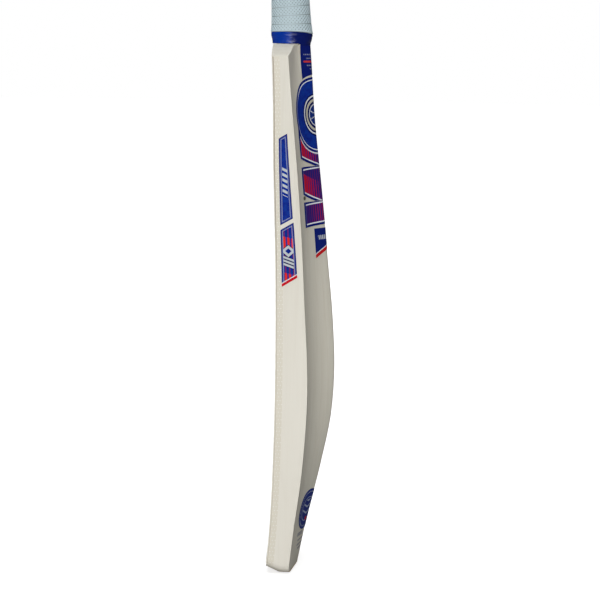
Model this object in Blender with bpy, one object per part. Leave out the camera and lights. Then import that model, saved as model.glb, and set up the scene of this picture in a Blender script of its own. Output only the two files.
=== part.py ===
"""Cricket bat, full size, short handle, standing on its toe.

+Z runs up the bat from the toe to the handle's end, the hitting face looks along -Y, and the
spine stands on the +Y side. The bat is symmetric in X, apart from its badge label.

The blade is a height field on each side: front_y and back_y give the face and the back over the
bat's front-view outline, half_width gives the outline, and every piece is cut from those three.
"""

import math

import bmesh
import bpy

MM = 0.001

# Driving dimensions.
BLADE_HEIGHT = 562 * MM
BAT_HEIGHT = 850 * MM
BLADE_HALF_WIDTH = 53.3 * MM
SHOULDER_HEIGHT = 550 * MM
THROAT_HALF_WIDTH = 20 * MM
TOE_CORNER_RADIUS = 10 * MM
CORNER_CHAMFER = 1.2 * MM
GAP = 0.3 * MM
LABEL_THICKNESS = 0.3 * MM
SHEET_THICKNESS = 0.4 * MM

# The straight line across the bowed face, from the toe to the shoulder.
FACE_LINE = -26.3 * MM
# The face stands convex by this much across its width.
FACE_CROWN = 1.5 * MM
# (height, how far the face lies behind the line across it)
BOW = [(0, 1.1), (60, 5.2), (140, 8.0), (240, 8.8), (340, 7.4), (440, 4.3), (535, 2.1),
       (562, 0.7)]
# (height, thickness of the blade's edge)
EDGE = [(0, 24.2), (50, 26.3), (110, 31.2), (190, 34.4), (300, 30.3), (420, 25.6), (550, 17.2),
        (562, 17.0)]
# (height, depth from the face's corner to the top of the spine)
SPINE = [(0, 29.4), (50, 35.8), (110, 47.2), (165, 56.4), (215, 59.0), (265, 57.0), (340, 50.9),
         (420, 44.9), (500, 37.9), (562, 35.7)]

# The spine is a sharp ridge along the blade, flat at the toe, and a round column under the handle.
# A higher power makes the slope beside it more hollow.
COLUMN_TOP = 562 * MM
COLUMN_FOOT = 505 * MM
RIDGE_ROUNDING = 4 * MM
COLUMN_ROUNDING = 16 * MM
RIDGE_POWER = 2.1
COLUMN_POWER = 5.0
TOE_POWER = 0.9
TOE_FADE_HEIGHT = 60 * MM
# Between the column and the edge the shoulder stands this much fuller.
SHOULDER_FULLNESS = 2.35 * MM
SHOULDER_MIDDLE = 36 * MM
SHOULDER_SPREAD = 17.2 * MM

# The toe's sole is flat at the back and rises to the face as a rocker.
SOLE_FLAT_FRONT = -10 * MM
SOLE_RISE = 0.43
SOLE_ROUNDING = 1.2 * MM
SOLE_FADE_HEIGHT = 40 * MM
SHIELD_THICKNESS = 1.2 * MM

# The splice is a wedge of handle let into the blade.
SPLICE_TIP = 425 * MM
SPLICE_TIP_HALF_WIDTH = 1.0 * MM
SPLICE_HALF_WIDTH = 17.6 * MM
SPLICE_SHOULDER = 560 * MM
# The slot is sloped, so it stands a little more than the gap to each side.
SPLICE_CLEARANCE = 0.33 * MM

# The handle leans toward the face. Its sections are ovals, deeper than they are wide.
LEAN = 0.055
HANDLE_CENTRE_HEIGHT = 590 * MM
HANDLE_CENTRE_Y = -10.2 * MM
# (height, half width, half depth) of the cane core
CORE = [(562, 16.2, 16.6), (620, 15.2, 15.8), (700, 14.1, 14.3), (850, 13.8, 13.8)]
# (height, half width, half depth) of the grip's outside
GRIP = [(574, 19.6, 22.0), (582, 19.2, 21.3), (606, 18.2, 20.2), (680, 17.2, 17.9), (850, 17.0, 17.0)]
# (height, half width, half depth) of the collar tape's outside
COLLAR = [(562.4, 18.8, 20.5), (565.6, 19.0, 20.7), (567.6, 19.9, 21.3), (570.6, 20.1, 22.0),
          (573.6, 19.9, 22.2)]
BINDING_THICKNESS = 0.9 * MM
BINDING_FOOT = 564.6 * MM
BINDING_TOP = 846 * MM
CORE_TOP = 848 * MM

# The cane core is four slabs of three canes, with a rubber strip between the slabs.
STRIP_THICKNESS = 1.8 * MM
STRIP_OFFSETS = [-7.6 * MM, -1.3 * MM, 5.0 * MM]
CANE_SPLIT = 5.2 * MM

SHEET_TOP = 549 * MM
# The sheet's folds reach this far down the edges, square to them from SHEET_BEND.
SHEET_WRAP = 5.6 * MM
SHEET_BEND = 3 * MM

# How strongly lattice lines crowd toward the spine; 1 is even spacing.
CROWDING = 1.35
# A cutter reaches this far past what it cuts.
OVERSHOOT = 20 * MM
# A disc's lattice stops this many degrees short of its top and bottom points.
POLE = 8

# The round label's ring, and the bars and labels round it, as seen square from the back.
RING_HEIGHT = 487.7 * MM
RING_RADIUS = 39.8 * MM
RING_CLEARANCE = 1.2 * MM
THROAT_CLEARANCE = 2.4 * MM
# Its lower corners reach this much farther down.
THROAT_CORNER_DROP = 2.0 * MM
# A label bent over the spine looks narrower by this much.
BENT_WIDTH = 0.885
THROAT_LABEL_TOP = 559.6 * MM
THROAT_LABEL_HALF_WIDTH = 13.9 * MM
# The throat label widens toward its foot by this share of the way down.
THROAT_LABEL_FLARE = 0.045
BAR_HALF_WIDTH = 33.5 * MM
# Each bar's height (top at its sides, top at the spine, bottom at its sides, bottom at the spine).
# The first one's top follows the ring.
BARS = [(0, 0, 443, 431.5), (433.6, 435.5, 405.2, 392.7), (396.8, 398.7, 370.1, 372.2)]
# Where a bar's foot meets the next bar's top, at the spine.
BAR_MEETINGS = [434.1, 397.1]
NAME_HALF_WIDTH = 17.3 * MM
NAME_LEVELS = (368.2, 336.6, 346)
BADGE_HEIGHT = 61.9 * MM
BADGE_MIDDLE = 9 * MM
BADGE_HALF_WIDTH = 20 * MM
BADGE_HALF_HEIGHT = 22.4 * MM
# Corners of the edge labels: (depth behind the face's corner, height)
UPPER_EDGE_LABEL = [(6.1, 374.5), (19.4, 382), (14.8, 470), (6.1, 464.8)]
LOWER_EDGE_LABEL = [(7.0, 310), (23.2, 319.8), (20.1, 377.8), (6.2, 369.6)]


def clear_scene():
    for obj in list(bpy.data.objects):
        bpy.data.objects.remove(obj, do_unlink=True)


def material(name, colour, roughness, metallic=0.0):
    mat = bpy.data.materials.new(name)
    mat.use_nodes = True
    shader = mat.node_tree.nodes["Principled BSDF"]
    shader.inputs["Base Color"].default_value = (*colour, 1.0)
    shader.inputs["Roughness"].default_value = roughness
    shader.inputs["Metallic"].default_value = metallic
    return mat


def spaced(low, high, steps):
    """steps + 1 evenly spaced values from low to high."""
    return [low + (high - low) * i / steps for i in range(steps + 1)]


def along(stations, height, column=1):
    """A smooth curve through stations of (height, values...) in millimetres, read at a height."""
    heights = [s[0] * MM for s in stations]
    values = [s[column] * MM for s in stations]
    rises = [(values[i + 1] - values[i]) / (heights[i + 1] - heights[i]) for i in range(len(values) - 1)]
    slopes = [rises[0]]
    for i in range(1, len(rises)):
        before = heights[i] - heights[i - 1]
        after = heights[i + 1] - heights[i]
        slopes.append((rises[i - 1] * after + rises[i] * before) / (before + after))
    slopes.append(rises[-1])
    height = min(max(height, heights[0]), heights[-1])
    i = 0
    while height > heights[i + 1]:
        i += 1
    span = heights[i + 1] - heights[i]
    t = (height - heights[i]) / span
    start = (1 + 2 * t) * (1 - t) ** 2 * values[i] + t * (1 - t) ** 2 * span * slopes[i]
    end = t * t * (3 - 2 * t) * values[i + 1] - t * t * (1 - t) * span * slopes[i + 1]
    return start + end


def crowded(steps):
    """steps + 1 values from -1 to 1, closest together round the middle."""
    return [math.copysign(abs(s) ** CROWDING, s) for s in spaced(-1, 1, steps)]


def ease(t):
    t = min(max(t, 0.0), 1.0)
    return t * t * (3 - 2 * t)


# The blade's surfaces.


def face_line(z):
    return FACE_LINE + along(BOW, z)


def front_y(x, z):
    return face_line(z) - FACE_CROWN * (1 - (x / BLADE_HALF_WIDTH) ** 2)


def back_y(x, z):
    """Low and nearly flat at the edge, rising in a hollow curve to the spine."""
    column = ease((z - COLUMN_FOOT) / (COLUMN_TOP - COLUMN_FOOT))
    rounding = RIDGE_ROUNDING + (COLUMN_ROUNDING - RIDGE_ROUNDING) * column
    toe = 1 - ease(z / TOE_FADE_HEIGHT)
    power = RIDGE_POWER + (COLUMN_POWER - RIDGE_POWER) * column + (TOE_POWER - RIDGE_POWER) * toe
    reach = math.hypot(BLADE_HALF_WIDTH, rounding) - rounding
    climb = max(0.0, 1 - (math.hypot(x, rounding) - rounding) / reach) ** power
    edge = along(EDGE, z)
    aside = (abs(x) - SHOULDER_MIDDLE) / SHOULDER_SPREAD
    fullness = SHOULDER_FULLNESS * column * max(0.0, 1 - aside ** 2)
    return face_line(z) + edge + (along(SPINE, z) - edge) * climb + fullness


def half_width(z):
    if z < TOE_CORNER_RADIUS:
        drop = TOE_CORNER_RADIUS - z
        return BLADE_HALF_WIDTH - TOE_CORNER_RADIUS + math.sqrt(TOE_CORNER_RADIUS ** 2 - drop ** 2)
    if z > SHOULDER_HEIGHT:
        rise = (z - SHOULDER_HEIGHT) / (BLADE_HEIGHT - SHOULDER_HEIGHT)
        return BLADE_HALF_WIDTH + (THROAT_HALF_WIDTH - BLADE_HALF_WIDTH) * rise
    return BLADE_HALF_WIDTH


def sole_lift(y, z):
    """How far the rocker lifts a point, all of it at the sole and none above SOLE_FADE_HEIGHT."""
    ahead = max(0.0, SOLE_FLAT_FRONT - y)
    fade = 1 - ease(z / SOLE_FADE_HEIGHT)
    return fade * SOLE_RISE * (math.hypot(ahead, SOLE_ROUNDING) - SOLE_ROUNDING)


def blade_point(u, t, z):
    """A point of the blade's block: u across from -1 to 1, t from the face, 0, to the back, 1."""
    x = u * half_width(z)
    front = front_y(x, z)
    y = front + t * (back_y(x, z) - front)
    z += sole_lift(y, z)
    front = front_y(x, z)
    return x, front + t * (back_y(x, z) - front), z


# Mesh makers. Each makes one closed body with its faces pointing out.


def finish_mesh(name, verts, faces, mat, smooth_angle=35):
    mesh = bpy.data.meshes.new(name)
    mesh.from_pydata(verts, [], faces)
    mesh.materials.append(mat)
    work = bmesh.new()
    work.from_mesh(mesh)
    bmesh.ops.recalc_face_normals(work, faces=work.faces)
    work.to_mesh(mesh)
    work.free()
    mesh.shade_smooth()
    mesh.set_sharp_from_angle(angle=math.radians(smooth_angle))
    obj = bpy.data.objects.new(name, mesh)
    bpy.context.scene.collection.objects.link(obj)
    return obj


def block(name, counts, point, mat):
    """The skin of a lattice of counts[0] x counts[1] x counts[2] cells, placed by point(i, j, k)."""
    verts = []
    index = {}

    def vertex(key):
        if key not in index:
            index[key] = len(verts)
            verts.append(point(*key))
        return index[key]

    faces = []
    for axis in range(3):
        first, second = [a for a in range(3) if a != axis]
        for level in (0, counts[axis]):
            for a in range(counts[first]):
                for b in range(counts[second]):
                    corners = []
                    for step in ((0, 0), (1, 0), (1, 1), (0, 1)):
                        key = [0, 0, 0]
                        key[axis] = level
                        key[first] = a + step[0]
                        key[second] = b + step[1]
                        corners.append(vertex(tuple(key)))
                    faces.append(corners)
    return finish_mesh(name, verts, faces, mat)


def sleeve(name, outer, inner, heights, mat, sides=24):
    """A tube round the handle, between two ovals at each height."""
    verts = []
    rows = [(outer, z) for z in heights] + [(inner, z) for z in reversed(heights)]
    for oval, z in rows:
        half_x, half_y = oval(z)
        for s in range(sides):
            angle = 2 * math.pi * s / sides
            verts.append((half_x * math.cos(angle), handle_centre(z) + half_y * math.sin(angle), z))
    faces = []
    for r in range(len(rows)):
        below = r * sides
        above = (r + 1) % len(rows) * sides
        for s in range(sides):
            t = (s + 1) % sides
            faces.append((below + s, below + t, above + t, above + s))
    return finish_mesh(name, verts, faces, mat)


# Handle.


def handle_centre(z):
    return HANDLE_CENTRE_Y - LEAN * (z - HANDLE_CENTRE_HEIGHT)


def core_oval(z):
    return along(CORE, z, 1), along(CORE, z, 2)


def binding_oval(z):
    half_x, half_y = core_oval(z)
    return half_x + GAP + BINDING_THICKNESS, half_y + GAP + BINDING_THICKNESS


def grown(oval, extra):
    def bigger(z):
        half_x, half_y = oval(z)
        return half_x + extra, half_y + extra
    return bigger


def splice_half_width(z):
    rise = (z - SPLICE_TIP) / (BLADE_HEIGHT - SPLICE_TIP)
    return SPLICE_TIP_HALF_WIDTH + (SPLICE_HALF_WIDTH - SPLICE_TIP_HALF_WIDTH) * rise


def core_point(u, v, z):
    """A wedge as deep as the blade up to its shoulder, and an oval above it; u and v run -1 to 1."""
    if z <= SPLICE_SHOULDER:
        x = u * splice_half_width(z)
        front = front_y(x, z)
        return x, front + (v + 1) / 2 * (back_y(x, z) - front), z
    half_x, half_y = core_oval(z)
    reach = max(abs(u), abs(v)) / max(math.hypot(u, v), 1e-9)
    return u * reach * half_x, handle_centre(z) + v * reach * half_y, z


def box(name, low, high, z_low, z_high):
    """A box cutter that leans with the handle. low and high are (x, offset from the axis)."""
    def point(i, j, k):
        z = (z_low, z_high)[k]
        return (low[0], high[0])[i], handle_centre(z) + (low[1], high[1])[j], z
    cutter = block(name, (1, 1, 1), point, bpy.data.materials["cutter"])
    cutter.hide_render = True
    cutter.display_type = "WIRE"
    return cutter


def cut_from_core(name, low, high, mat):
    """The part of the handle's core inside a leaning box."""
    heights = spaced(SPLICE_TIP, COLUMN_FOOT, 5) + spaced(COLUMN_FOOT, SPLICE_SHOULDER, 6)[1:]
    heights += [BLADE_HEIGHT] + spaced(BLADE_HEIGHT + 20 * MM, CORE_TOP, 7)
    across = spaced(-1, 1, 8)

    def point(i, j, k):
        return core_point(across[i], across[j], heights[k])

    piece = block(name, (len(across) - 1, len(across) - 1, len(heights) - 1), point, mat)
    cut = piece.modifiers.new("slab", "BOOLEAN")
    cut.operation = "INTERSECT"
    cut.solver = "EXACT"
    cut.object = box(f"{name}_cutter", low, high, SPLICE_TIP - OVERSHOOT, CORE_TOP + OVERSHOOT)
    return piece


def make_core():
    cane = material("cane", (0.62, 0.45, 0.24), 0.55)
    rubber = material("spring_rubber", (0.03, 0.03, 0.03), 0.7)
    far = BLADE_HALF_WIDTH
    half_strip = STRIP_THICKNESS / 2
    slab_edges = [-far] + STRIP_OFFSETS + [far]
    for row in range(4):
        low_y = slab_edges[row] + (half_strip + GAP if row > 0 else 0)
        high_y = slab_edges[row + 1] - (half_strip + GAP if row < 3 else 0)
        columns = {
            "left": (-far, -CANE_SPLIT - GAP / 2),
            "middle": (-CANE_SPLIT + GAP / 2, CANE_SPLIT - GAP / 2),
            "right": (CANE_SPLIT + GAP / 2, far),
        }
        for side, (low_x, high_x) in columns.items():
            cut_from_core(f"cane_{row + 1}_{side}", (low_x, low_y), (high_x, high_y), cane)
    for number, offset in enumerate(STRIP_OFFSETS, 1):
        low = (-far, offset - half_strip)
        high = (far, offset + half_strip)
        cut_from_core(f"spring_strip_{number}", low, high, rubber)


def make_sleeves():
    twine = material("twine", (0.72, 0.66, 0.52), 0.8)
    wound = spaced(BINDING_FOOT, BINDING_TOP, 10)
    sleeve("twine_binding", binding_oval, grown(core_oval, GAP), wound, twine)

    tape = material("collar_tape", (0.01, 0.05, 0.33), 0.2)
    heights = [s[0] * MM for s in COLLAR]

    def tape_oval(z):
        return along(COLLAR, z, 1), along(COLLAR, z, 2)

    sleeve("collar_tape", tape_oval, grown(binding_oval, GAP), heights, tape)

    rubber = material("grip_rubber", (0.56, 0.67, 0.73), 0.6)
    foot = GRIP[0][0] * MM
    heights = spaced(foot, foot + 32 * MM, 4) + spaced(foot + 60 * MM, BAT_HEIGHT, 7)

    def grip_oval(z):
        return along(GRIP, z, 1), along(GRIP, z, 2)

    sleeve("grip", grip_oval, grown(binding_oval, GAP), heights, rubber)


# Blade, sheet and toe shield.


def toe_corner_height(degrees):
    """The height on the toe's rounded corner where its arc has turned by so much from the sole."""
    return TOE_CORNER_RADIUS * (1 - math.cos(math.radians(degrees)))


def blade_heights():
    foot = SHIELD_THICKNESS + GAP
    corner = [toe_corner_height(a) for a in (42, 60, 75, 90)]
    body = spaced(25 * MM, COLUMN_FOOT, 30)
    column = spaced(COLUMN_FOOT, SHOULDER_HEIGHT, 6)[1:]
    top = spaced(SHOULDER_HEIGHT, BLADE_HEIGHT, 3)[1:]
    return [foot] + corner + body + column + top


def chamfered(steps, width):
    """Lattice lines from -1 to 1 across a width, with a narrow last cell for the corner's chamfer."""
    edge = 1 - CORNER_CHAMFER / width
    return [-1] + [edge * u for u in crowded(steps)] + [1]


def make_blade():
    willow = material("willow", (0.73, 0.68, 0.56), 0.5)
    heights = blade_heights()
    across = chamfered(18, BLADE_HALF_WIDTH)
    through = spaced(0, 1, 4)

    def point(i, j, k):
        u = across[i]
        t = through[j]
        x, y, z = blade_point(u, t, heights[k])
        if abs(u) == 1 and t == 0:
            y += CORNER_CHAMFER
        if abs(u) == 1 and t == 1:
            y -= CORNER_CHAMFER
        return x, y, z

    blade = block("blade", (len(across) - 1, len(through) - 1, len(heights) - 1), point, willow)

    tip = SPLICE_TIP - GAP
    top = BLADE_HEIGHT + OVERSHOOT

    def slot_point(i, j, k):
        z = (tip, top)[k]
        x = splice_half_width(z) + SPLICE_CLEARANCE
        return (-x, x)[i], (-BLADE_HALF_WIDTH, BLADE_HALF_WIDTH)[j], z

    slot = block("splice_cutter", (1, 1, 1), slot_point, bpy.data.materials["cutter"])
    slot.hide_render = True
    slot.display_type = "WIRE"
    cut = blade.modifiers.new("splice", "BOOLEAN")
    cut.operation = "DIFFERENCE"
    cut.solver = "EXACT"
    cut.object = slot


def make_toe_shield():
    amber = material("toe_guard", (0.33, 0.21, 0.08), 0.35)
    across = spaced(-1, 1, 14)
    through = spaced(0, 1, 8)
    levels = [0.0, SHIELD_THICKNESS]

    def point(i, j, k):
        return blade_point(across[i], through[j], levels[k])

    block("toe_shield", (len(across) - 1, len(through) - 1, 1), point, amber)


def make_sheet():
    """A thin film over the face, folded a little way round both edges."""
    film = material("anti_scuff_film", (0.72, 0.68, 0.58), 0.3)
    heights = [toe_corner_height(a) for a in (60, 75, 90)] + spaced(25 * MM, SHEET_TOP, 24)
    inner = BLADE_HALF_WIDTH + GAP
    outer = inner + SHEET_THICKNESS
    flat = spaced(-1, 1, 12)

    def section(z, half, lift):
        """The film's line round the section: down one edge, across the face, up the other edge."""
        drop = half_width(z) - BLADE_HALF_WIDTH
        reach = half + drop
        line = [(-reach, face_line(z) + SHEET_WRAP), (-reach, face_line(z) + SHEET_BEND)]
        for u in flat:
            x = u * reach
            line.append((x, front_y(x, z) - lift))
        return line + [(reach, face_line(z) + SHEET_BEND), (reach, face_line(z) + SHEET_WRAP)]

    count = len(section(SHEET_TOP, inner, GAP))

    def point(i, j, k):
        z = heights[k]
        half, lift = ((outer, GAP + SHEET_THICKNESS), (inner, GAP))[j]
        x, y = section(z, half, lift)[i]
        return x, y, z + sole_lift(y, z)

    block("anti_scuff_sheet", (count - 1, 1, len(heights) - 1), point, film)


# Labels.


def back_normal(x, z):
    step = 0.5 * MM
    slope_x = (back_y(x + step, z) - back_y(x - step, z)) / (2 * step)
    slope_z = (back_y(x, z + step) - back_y(x, z - step)) / (2 * step)
    size = math.sqrt(1 + slope_x ** 2 + slope_z ** 2)
    return -slope_x / size, 1 / size, -slope_z / size


def back_label(name, columns, up, place, mat):
    """A thin label on the back. place(u, v) gives (x, z) for u, one of the columns, and v, 0 to 1."""
    def point(i, j, k):
        x, z = place(columns[i], k / up)
        lift = (GAP, GAP + LABEL_THICKNESS)[j]
        normal = back_normal(x, z)
        return x + normal[0] * lift, back_y(x, z) + normal[1] * lift, z + normal[2] * lift

    block(name, (len(columns) - 1, 1, up), point, mat)


def ring_edge(x, radius, side):
    """Height of a circle round the ring's middle, over it (side 1) or under it (side -1)."""
    reach = min(1.0, abs(x) / (radius * BENT_WIDTH))
    return RING_HEIGHT + side * radius * math.sqrt(1 - reach ** 2)


def make_throat_label(vinyl):
    def place(u, v):
        x = u * THROAT_LABEL_HALF_WIDTH
        low = ring_edge(x, RING_RADIUS + THROAT_CLEARANCE, 1) - THROAT_CORNER_DROP * u ** 2
        z = low + v * (THROAT_LABEL_TOP - low)
        return x + u * THROAT_LABEL_FLARE * (THROAT_LABEL_TOP - z), z
    back_label("throat_label", crowded(8), 5, place, vinyl)


def oval_place(half_wide, half_tall, height, middle=0.0):
    """An oval, whose lattice stops just short of its top and bottom points."""
    def place(u, v):
        turn = math.radians(POLE + (180 - 2 * POLE) * v)
        return middle + u * half_wide * math.sin(turn), height - half_tall * math.cos(turn)
    return place


def make_round_label(vinyl):
    place = oval_place(RING_RADIUS * BENT_WIDTH, RING_RADIUS, RING_HEIGHT)
    back_label("round_label", crowded(14), 12, place, vinyl)


def bar_place(number):
    """The outline of bar 1, 2 or 3, clear of its neighbours."""
    side_top, spine_top, side_low, spine_low = BARS[number - 1]

    def place(u, v):
        x = u * BAR_HALF_WIDTH
        low = (spine_low + (side_low - spine_low) * abs(u)) * MM
        high = (spine_top + (side_top - spine_top) * abs(u)) * MM
        if number < len(BARS):
            low = max(low, BAR_MEETINGS[number - 1] * MM + GAP)
        if number > 1:
            high = min(high, BAR_MEETINGS[number - 2] * MM - GAP)
        else:
            high = ring_edge(x, RING_RADIUS + RING_CLEARANCE, -1)
        return x, low + v * (high - low)
    return place


def make_bar_labels(vinyl):
    for number in range(1, len(BARS) + 1):
        back_label(f"bar_label_{number}", crowded(14), 3, bar_place(number), vinyl)


def make_name_label(vinyl):
    top, side_bottom, spine_bottom = NAME_LEVELS

    def place(u, v):
        low = spine_bottom + (side_bottom - spine_bottom) * abs(u)
        return u * NAME_HALF_WIDTH, (low + v * (top - low)) * MM

    back_label("name_label", crowded(8), 3, place, vinyl)


def make_badge_label(vinyl):
    place = oval_place(BADGE_HALF_WIDTH, BADGE_HALF_HEIGHT, BADGE_HEIGHT, BADGE_MIDDLE)
    back_label("badge_label", spaced(-1, 1, 34), 10, place, vinyl)


def edge_label(name, side, corners, mat):
    """A flat label on one edge, from four corners that run round it."""
    def point(i, j, k):
        depth, height = corners[(0, 1, 3, 2)[i + 2 * k]]
        x = BLADE_HALF_WIDTH + (GAP, GAP + LABEL_THICKNESS)[j]
        return side * x, face_line(height * MM) + depth * MM, height * MM
    block(name, (1, 1, 1), point, mat)


def make_labels():
    navy = material("navy_vinyl", (0.01, 0.015, 0.12), 0.3)
    blue = material("blue_vinyl", (0.01, 0.03, 0.25), 0.3)
    make_throat_label(navy)
    make_round_label(blue)
    make_bar_labels(blue)
    make_name_label(navy)
    make_badge_label(navy)
    for side, hand in ((1, "right"), (-1, "left")):
        edge_label(f"upper_edge_label_{hand}", side, UPPER_EDGE_LABEL, blue)
        edge_label(f"lower_edge_label_{hand}", side, LOWER_EDGE_LABEL, blue)


def main():
    clear_scene()
    material("cutter", (0.5, 0.5, 0.5), 0.5)
    make_core()
    make_sleeves()
    make_blade()
    make_toe_shield()
    make_sheet()
    make_labels()


main()
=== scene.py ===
"""The looks of a cricket bat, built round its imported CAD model.

Everything is in metres in the CAD's own frame: the bat stands on its toe, +Z runs up it, the hitting
face looks along -Y, and the spine stands on the +Y side. Stations and the numbers in materials are
in millimetres. The blade's surfaces are the same functions of (x, z) that shape the CAD's blade, so
the fine meshes here lie on it.
"""

import math

import bmesh
import bpy
import numpy as np
from mathutils import Matrix, Vector


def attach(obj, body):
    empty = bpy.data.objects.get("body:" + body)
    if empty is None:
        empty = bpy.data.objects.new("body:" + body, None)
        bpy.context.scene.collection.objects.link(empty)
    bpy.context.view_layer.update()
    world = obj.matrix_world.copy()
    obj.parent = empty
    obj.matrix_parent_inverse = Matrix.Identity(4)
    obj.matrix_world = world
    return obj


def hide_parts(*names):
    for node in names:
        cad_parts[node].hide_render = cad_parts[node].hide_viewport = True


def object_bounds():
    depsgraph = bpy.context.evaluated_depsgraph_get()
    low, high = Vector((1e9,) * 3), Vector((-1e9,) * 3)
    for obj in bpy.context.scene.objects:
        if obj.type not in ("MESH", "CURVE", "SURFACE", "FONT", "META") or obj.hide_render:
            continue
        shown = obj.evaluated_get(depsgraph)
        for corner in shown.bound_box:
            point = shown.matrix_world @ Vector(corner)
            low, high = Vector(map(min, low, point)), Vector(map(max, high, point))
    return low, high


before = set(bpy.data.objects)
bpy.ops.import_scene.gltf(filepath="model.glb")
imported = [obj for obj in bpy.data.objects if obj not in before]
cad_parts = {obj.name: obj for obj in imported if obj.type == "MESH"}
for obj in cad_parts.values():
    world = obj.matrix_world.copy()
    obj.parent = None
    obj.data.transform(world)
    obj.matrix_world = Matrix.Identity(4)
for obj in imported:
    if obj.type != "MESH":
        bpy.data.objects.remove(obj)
CAD_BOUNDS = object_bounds()

MM = 0.001

# The blade, as the CAD has it.
BLADE_HALF_WIDTH = 53.3 * MM
BLADE_HEIGHT = 562 * MM
BAT_HEIGHT = 850 * MM
SHOULDER_HEIGHT = 550 * MM
THROAT_HALF_WIDTH = 20 * MM
TOE_CORNER_RADIUS = 10 * MM
FACE_LINE = -26.3 * MM
FACE_CROWN = 1.5 * MM
# (height, how far the face lies behind the line across it)
BOW = [(0, 1.1), (60, 5.2), (140, 8.0), (240, 8.8), (340, 7.4), (440, 4.3), (535, 2.1),
       (562, 0.7)]
# (height, thickness of the blade's edge)
EDGE = [(0, 24.2), (50, 26.3), (110, 31.2), (190, 34.4), (300, 30.3), (420, 25.6), (550, 17.2),
        (562, 17.0)]
# (height, depth from the face's corner to the top of the spine)
SPINE = [(0, 29.4), (50, 35.8), (110, 47.2), (165, 56.4), (215, 59.0), (265, 57.0), (340, 50.9),
         (420, 44.9), (500, 37.9), (562, 35.7)]
COLUMN_TOP = 562 * MM
COLUMN_FOOT = 505 * MM
RIDGE_ROUNDING = 4 * MM
COLUMN_ROUNDING = 16 * MM
RIDGE_POWER = 2.1
COLUMN_POWER = 5.0
TOE_POWER = 0.9
TOE_FADE_HEIGHT = 60 * MM
# Between the column and the edge the shoulder stands this much fuller.
SHOULDER_FULLNESS = 2.35 * MM
SHOULDER_MIDDLE = 36 * MM
SHOULDER_SPREAD = 17.2 * MM
SOLE_FLAT_FRONT = -10 * MM
SOLE_RISE = 0.43
SOLE_ROUNDING = 1.2 * MM
SOLE_FADE_HEIGHT = 40 * MM
SHIELD_THICKNESS = 1.2 * MM
BLADE_FOOT = 1.5 * MM
CORNER_ROUNDING = 1.7 * MM

SPLICE_TIP = 425 * MM
SPLICE_TIP_HALF_WIDTH = 1.0 * MM
SPLICE_HALF_WIDTH = 17.6 * MM
GLUE_LINE = 0.06 * MM
# How far the tool that opens the slot reaches above the blade, and to its front and back.
SLOT_ABOVE = 20 * MM
SLOT_REACH = 90 * MM

# The handle leans toward the face.
LEAN = 0.055
HANDLE_CENTRE_HEIGHT = 590 * MM
HANDLE_CENTRE_Y = -10.2 * MM
# (height, half width, half depth) of the grip's outside
GRIP = [(570, 19.8, 22.3), (574, 19.6, 22.0), (582, 19.2, 21.3), (606, 18.2, 20.2), (680, 17.2, 17.9),
        (850, 17.0, 17.0)]
# (height, half width, reach toward the face, reach toward the back) of the collar tape's outside
COLLAR = [(560, 18.5, 21.0, 19.0), (563.4, 18.8, 21.0, 19.6), (566.6, 19.4, 20.8, 20.8),
          (568.6, 19.7, 21.2, 21.3), (571, 20.2, 21.9, 21.5), (573.4, 20.0, 21.9, 21.9),
          (576, 19.6, 21.6, 21.9)]
# The grip's rings, and the pits between them.
GRIP_FOOT = 574.7 * MM
PLAIN_RIM = 1.6 * MM
FIRST_RING = 582.3 * MM
RING_PITCH = 9.0 * MM
PITS_AROUND = 32
PIT_ROWS = 5
GRIP_PIT_DEPTH = 0.45 * MM
TAPE_FOOT = 562.15 * MM
TAPE_RIM = 574.5 * MM
TAPE_FOOT_DROP = 1.5 * MM
TAPE_THICKNESS = 0.6 * MM
# (waves round the tape, wave height in millimetres, slope, depth in millimetres)
TAPE_WRINKLES = [(3, 2.1, 0.5, 0.16), (5, 1.4, -0.8, 0.11), (8, 1.1, 1.3, 0.07), (13, 0.8, -2.1, 0.045)]
# (height, half width, half depth) just outside the twine under the grip and the tape
UNDERLAY = [(562, 17.7, 18.1), (620, 16.7, 17.3), (700, 15.6, 15.8), (850, 15.3, 15.3)]

# The film over the face.
FILM_LIFT = 0.03 * MM
FILM_THICKNESS = 0.12 * MM
FILM_WRAP = 8 * MM
FILM_FOOT = 6 * MM
FILM_TOP = 549 * MM
# Below this the film's rows stand closer, to follow the toe.
FILM_TOE_TOP = 30 * MM

# The labels.
LABEL_LIFT = 0.18 * MM
LABEL_THICKNESS = 0.16 * MM
BENT_WIDTH = 0.885
RING_HEIGHT = 487.7
RING_RADIUS = 39.8
# The gap between the ring and the bar below it.
RING_GAP = 0.3
THROAT_LABEL_TOP = 561.6
THROAT_LABEL_HALF_WIDTH = 13.9
THROAT_LABEL_FLARE = 0.045
THROAT_CLEARANCE = 2.4
# Its lower corners reach this much farther down.
THROAT_CORNER_DROP = 2.0
BAR_HALF_WIDTH = 33.5
# Each bar's height (top at its sides, top at the spine, bottom at its sides, bottom at the spine).
# The first one's top follows the ring.
BARS = [(470, 470, 443, 431.5), (433.6, 435.5, 405.2, 392.7), (396.8, 398.7, 370.1, 372.2)]
# Where a bar's foot meets the next bar's top, and half the gap between them.
BAR_MEETINGS = [434.1, 397.1]
BAR_GAP = 0.15
NAME_HALF_WIDTH = 17.3
NAME_LEVELS = (368.2, 336.6, 346)
BADGE_HEIGHT = 61.9
BADGE_MIDDLE = 9
BADGE_HALF_WIDTH = 20
BADGE_HALF_HEIGHT = 22.4
# Corners of the edge labels: (depth behind the face's corner, height)
UPPER_EDGE_LABEL = [(6.1, 374.5), (19.4, 382), (14.8, 470), (6.1, 464.8)]
LOWER_EDGE_LABEL = [(7.0, 310), (23.2, 319.8), (20.1, 377.8), (6.2, 369.6)]

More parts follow.
